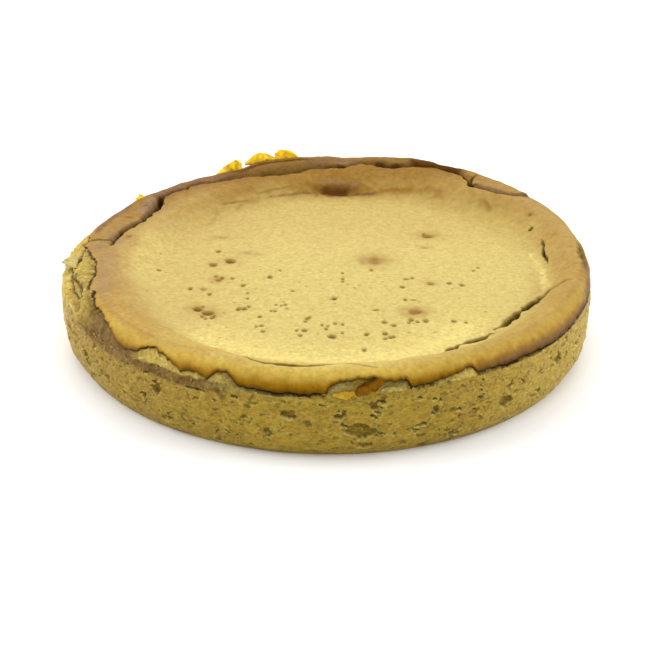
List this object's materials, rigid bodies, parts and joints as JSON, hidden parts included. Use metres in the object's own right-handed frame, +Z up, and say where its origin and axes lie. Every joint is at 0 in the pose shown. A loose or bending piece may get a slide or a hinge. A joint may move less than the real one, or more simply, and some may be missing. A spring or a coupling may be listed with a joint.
{
  "type": "pistachio cheesecake",
  "caption": "Whole round baked pistachio cheesecake, uncut, with a sunken pale top, a rolled golden rim and a torn lip over a porous olive wall",
  "frame": {"origin": "middle of the flat underside, on the surface that the cake rests on", "axes": "+Z up, -Y towards the front of the cake, +X to the right"},
  "size_m": [0.2698, 0.2701, 0.0515],
  "materials": {
    "baked_crust": "matte baked cheesecake, pale yellow top, golden brown rim, olive yellow wall"
  },
  "bodies": {
    "root": {"cheesecake": "baked_crust"}
  },
  "joints": []
}
